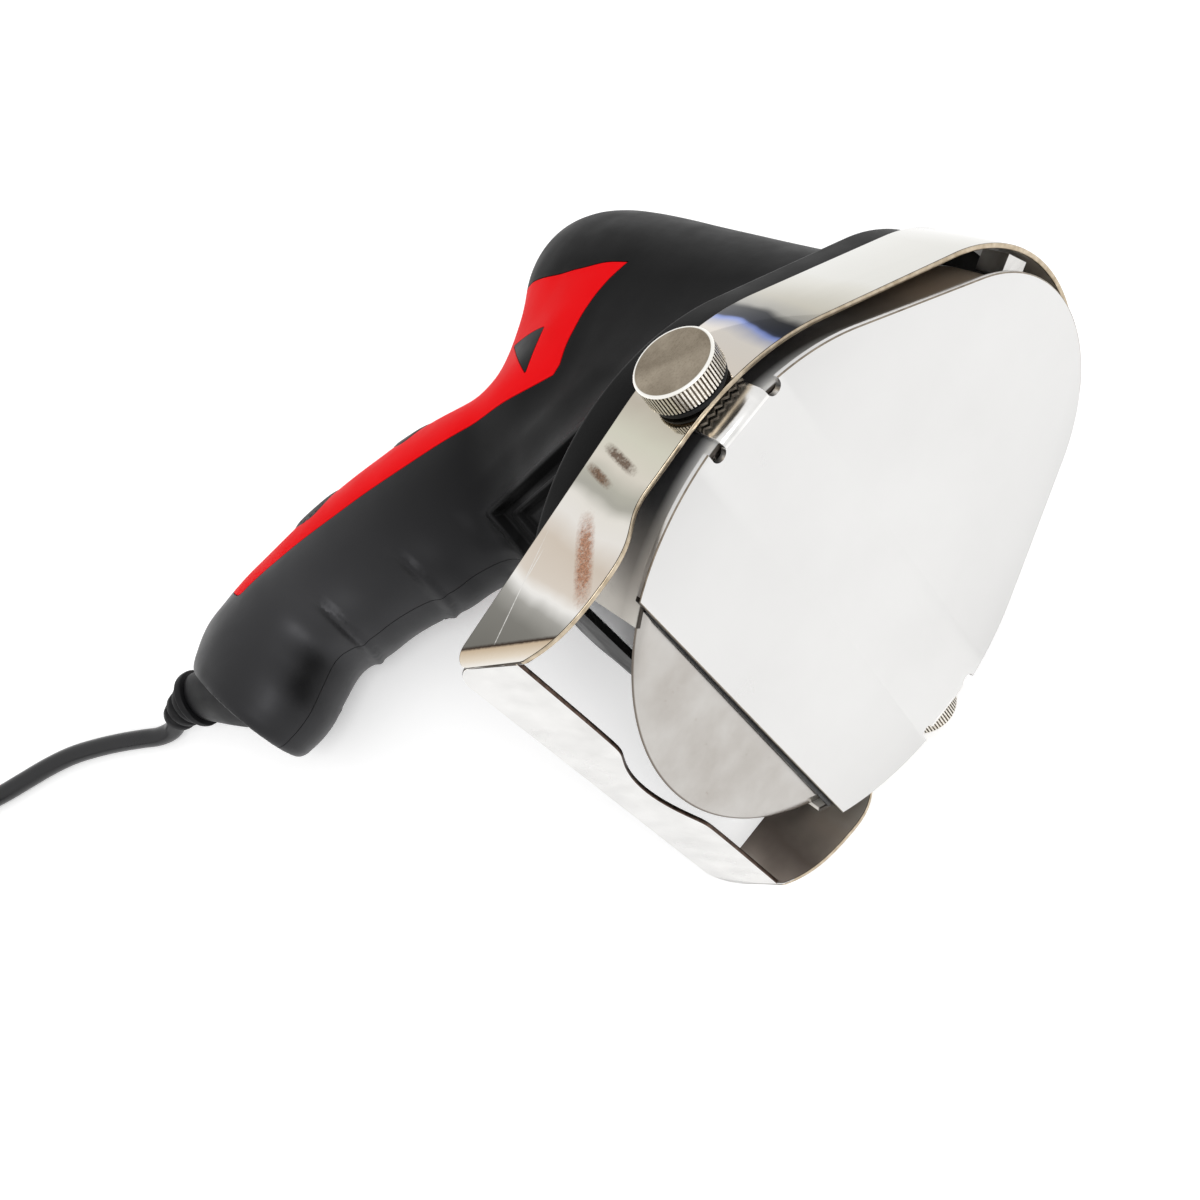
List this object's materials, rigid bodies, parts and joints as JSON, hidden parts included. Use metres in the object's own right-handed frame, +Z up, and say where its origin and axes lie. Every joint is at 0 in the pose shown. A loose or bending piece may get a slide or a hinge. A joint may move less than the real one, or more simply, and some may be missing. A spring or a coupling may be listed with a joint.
{
  "type": "electric kebab slicer",
  "caption": "Pistol-shaped slicer: round blade behind a polished egg-shaped face plate, sliding bent-steel slice guide with thumb knobs, black and red handle with cord, laid on its side.",
  "frame": {"origin": "middle of the bottom of the box round the tool without its cord, on the table", "axes": "+Z up from the table; +X from the butt of the handle towards the crown of the head; +Y from the blade towards the rear of the motor barrel"},
  "size_m": [0.3787, 0.2297, 0.12],
  "materials": {
    "polished_steel": "mirror polished stainless sheet",
    "blade_steel": "ground stainless",
    "satin_nickel": "turned, satin nickel plated",
    "machined_steel": "machined steel",
    "motor_steel": "drawn steel can",
    "black_plastic": "fine matte moulding",
    "red_plastic": "satin moulding",
    "white_nylon": "natural nylon",
    "brass": "plain brass",
    "copper_winding": "wound core",
    "ferrite": "sintered",
    "carbon": "pressed carbon",
    "black_rubber": "flexible vinyl",
    "red_lead": "lead insulation",
    "black_lead": "lead insulation"
  },
  "bodies": {
    "housing": {"face_plate": "polished_steel", "guard_ring": "polished_steel", "back_plate": "polished_steel", "gear_case": "black_plastic", "knob_washer_left": "black_rubber", "clamp_plate_left": "machined_steel", "ring_nut_left": "brass", "crown_lug_left": "machined_steel", "knob_washer_right": "black_rubber", "clamp_plate_right": "machined_steel", "ring_nut_right": "brass", "crown_lug_right": "machined_steel", "bearing_boss": "machined_steel", "spindle_front_bearing": "machined_steel", "spindle_rear_bearing": "machined_steel", "motor_can": "motor_steel", "motor_front_bush": "brass", "field_magnet": "ferrite", "carbon_brush_left": "carbon", "carbon_brush_right": "carbon", "motor_end_cap": "black_plastic", "motor_rear_bearing": "machined_steel", "left_shell": "black_plastic", "right_shell": "black_plastic", "red_spine_panel": "red_plastic", "spine_grip_pad": "black_plastic", "switch_surround": "black_plastic", "switch_block": "white_nylon", "shell_screw_1": "machined_steel", "shell_screw_2": "machined_steel", "shell_screw_3": "machined_steel", "shell_screw_4": "machined_steel", "case_screw_1": "machined_steel", "case_screw_2": "machined_steel", "case_screw_3": "machined_steel", "case_screw_4": "machined_steel", "switch_lead": "red_lead", "return_lead": "black_lead", "motor_lead": "red_lead", "cord_clamp": "white_nylon", "cord_gland": "black_plastic", "cord_boot": "black_rubber", "cord": "black_rubber", "cord_coil": "black_rubber", "cord_tie": "black_rubber", "plug_body": "black_rubber", "plug_pin_left": "satin_nickel", "plug_pin_right": "satin_nickel"},
    "blade_unit": {"blade": "blade_steel", "blade_screw": "machined_steel", "spindle": "machined_steel", "driven_gear": "white_nylon"},
    "rotor": {"motor_pinion": "brass", "motor_shaft": "machined_steel", "armature": "copper_winding", "cooling_fan": "black_plastic"},
    "guide": {"guide_band": "polished_steel"},
    "knob_left": {"thumb_knob_left": "satin_nickel"},
    "knob_right": {"thumb_knob_right": "satin_nickel"},
    "switch": {"power_switch": "black_plastic"}
  },
  "joints": [
    {"name": "blade_spin", "type": "hinge", "parent": "housing", "child": "blade_unit", "pos_m": [0.02211, -0.05979, 0.06273], "axis": [0, 0.937, -0.3492], "continuous": true},
    {"name": "rotor_spin", "type": "hinge", "parent": "housing", "child": "rotor", "pos_m": [0.05911, -0.00356, 0.04181], "axis": [0, 0.937, -0.3492], "continuous": true},
    {"name": "guide_slide", "type": "slide", "parent": "housing", "child": "guide", "axis": [0, 0.937, -0.3492], "range_m": [-0.0027, 0.0028]},
    {"name": "knob_left_turn", "type": "hinge", "parent": "housing", "child": "knob_left", "pos_m": [0.02506, -0.03188, 0.11529], "axis": [-0.0009, 0.3492, 0.937], "range_deg": [0, 360]},
    {"name": "knob_right_turn", "type": "hinge", "parent": "housing", "child": "knob_right", "pos_m": [0.02516, -0.07308, 0.00472], "axis": [0.0009, -0.3492, -0.937], "range_deg": [0, 360]},
    {"name": "switch_slide", "type": "slide", "parent": "housing", "child": "switch", "axis": [0.8704, -0.4612, 0.1727], "range_m": [0, 0.005]}
  ],
  "couplings": [
    {"joint": "rotor_spin", "follows": "blade_spin", "ratio": -4.2857}
  ]
}
